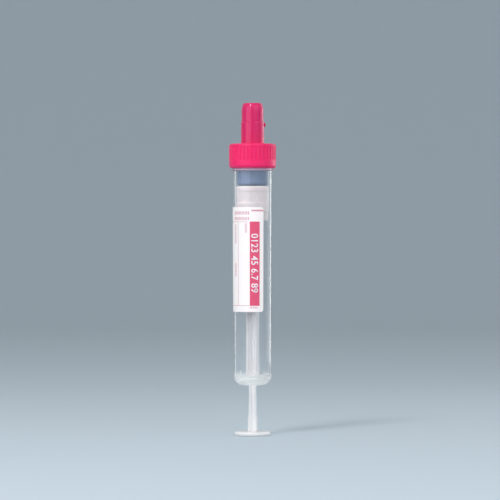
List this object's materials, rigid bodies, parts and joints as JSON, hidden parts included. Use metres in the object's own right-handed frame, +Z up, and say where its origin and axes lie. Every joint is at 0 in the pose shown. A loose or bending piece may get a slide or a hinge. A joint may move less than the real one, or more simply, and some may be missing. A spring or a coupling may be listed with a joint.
{
  "type": "blood collection tube",
  "caption": "Clear piston-type blood collection tube with ribbed screw cap, rubber stopper, paper label and a pull-back plunger rod with thumb disc.",
  "frame": {"origin": "centre of the underside of the thumb disc, on which the tube stands", "axes": "+Z up the axis of the tube towards the nozzle, -Y the front, with the coloured band of the label, +X towards the lug of the nozzle"},
  "size_m": [0.0182, 0.0182, 0.1288],
  "materials": {
    "clear_plastic": "clear, polished moulding",
    "label_paper": "satin paper",
    "band_ink": "printed paper",
    "digit_ink": "printed paper",
    "line_ink": "printed paper",
    "cap_plastic": "satin moulding",
    "stopper_rubber": "smooth moulded rubber",
    "piston_plastic": "milky moulding",
    "rod_plastic": "milky moulding"
  },
  "bodies": {
    "barrel": {"barrel": "clear_plastic", "label": "label_paper", "label_band": "band_ink", "label_digits": "digit_ink", "label_lines": "line_ink"},
    "piston": {"piston": "piston_plastic"},
    "plunger_rod": {"plunger_rod": "rod_plastic"},
    "stopper": {"stopper": "stopper_rubber"},
    "screw_cap": {"screw_cap": "cap_plastic"}
  },
  "joints": [
    {"name": "piston_slide", "type": "slide", "parent": "barrel", "child": "piston", "axis": [0, 0, -1], "range_m": [0, 0.0605]},
    {"name": "rod_spin", "type": "hinge", "parent": "piston", "child": "plunger_rod", "pos_m": [0, 0, 0.085], "axis": [0, 0, 1], "continuous": true},
    {"name": "cap_lift", "type": "slide", "parent": "barrel", "child": "stopper", "axis": [0, 0, 1], "range_m": [0, 0.00375]},
    {"name": "cap_turn", "type": "hinge", "parent": "stopper", "child": "screw_cap", "pos_m": [0, 0, 0.108], "axis": [0, 0, 1], "range_deg": [0, 450]}
  ],
  "couplings": [
    {"joint": "cap_turn", "follows": "cap_lift", "rad_per_m": 2094.4}
  ]
}
